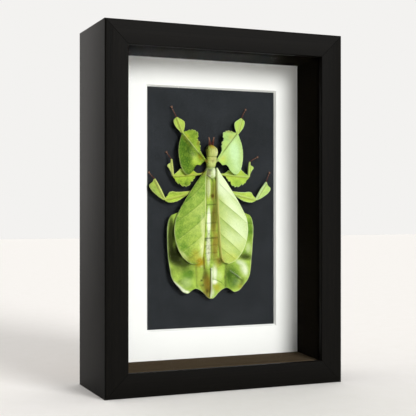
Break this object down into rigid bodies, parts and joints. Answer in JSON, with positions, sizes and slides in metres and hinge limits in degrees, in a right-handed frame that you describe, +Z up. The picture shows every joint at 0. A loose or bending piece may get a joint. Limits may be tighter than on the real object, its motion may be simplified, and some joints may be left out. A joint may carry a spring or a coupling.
{
  "type": "framed leaf insect specimen",
  "caption": "Mounted leaf insect with leaf-shaped wings, abdomen and legs in a deep black box frame with a white mat.",
  "frame": {"origin": "middle of the underside of the case", "axes": "+Z up along the insect's body towards its head, -Y out of the glass towards the viewer, +X to the viewer's right"},
  "size_m": [0.163, 0.059, 0.23],
  "materials": {
    "frame_wood": "black stained wood, satin",
    "glass": "clear, anti-reflective",
    "spacer": "dark brown card strip",
    "mat": "uncoated white card",
    "board": "charcoal paper over foam",
    "back_board": "plain fibreboard",
    "steel": "zinc plated",
    "abdomen": "dried green cuticle",
    "wing": "dried green membrane with pale veins",
    "thorax": "dried yellow-green cuticle",
    "leg": "dried green cuticle",
    "foot": "reddish-brown cuticle",
    "eye": "glossy brown"
  },
  "bodies": {
    "root": {"abdomen": "abdomen", "antenna_left": "foot", "antenna_right": "foot", "back_panel": "back_board", "eye_left": "eye", "eye_right": "eye", "fore_femur_left": "leg", "fore_femur_right": "leg", "fore_tarsus_left": "foot", "fore_tarsus_right": "foot", "fore_tibia_left": "leg", "fore_tibia_right": "leg", "fore_wing_left": "wing", "fore_wing_right": "wing", "framers_point_1": "steel", "framers_point_2": "steel", "framers_point_3": "steel", "framers_point_4": "steel", "framers_point_5": "steel", "framers_point_6": "steel", "glass_pane": "glass", "hanger": "steel", "head": "thorax", "hind_femur_left": "leg", "hind_femur_right": "leg", "hind_tarsus_left": "foot", "hind_tarsus_right": "foot", "hind_tibia_left": "leg", "hind_tibia_right": "leg", "mat": "mat", "mesothorax": "thorax", "metathorax": "thorax", "mid_femur_left": "leg", "mid_femur_right": "leg", "mid_tarsus_left": "foot", "mid_tarsus_right": "foot", "mid_tibia_left": "leg", "mid_tibia_right": "leg", "mount_board": "board", "prothorax": "thorax", "rail_bottom": "frame_wood", "rail_left": "frame_wood", "rail_right": "frame_wood", "rail_top": "frame_wood", "spacer_bottom": "spacer", "spacer_left": "spacer", "spacer_right": "spacer", "spacer_top": "spacer"}
  },
  "joints": []
}
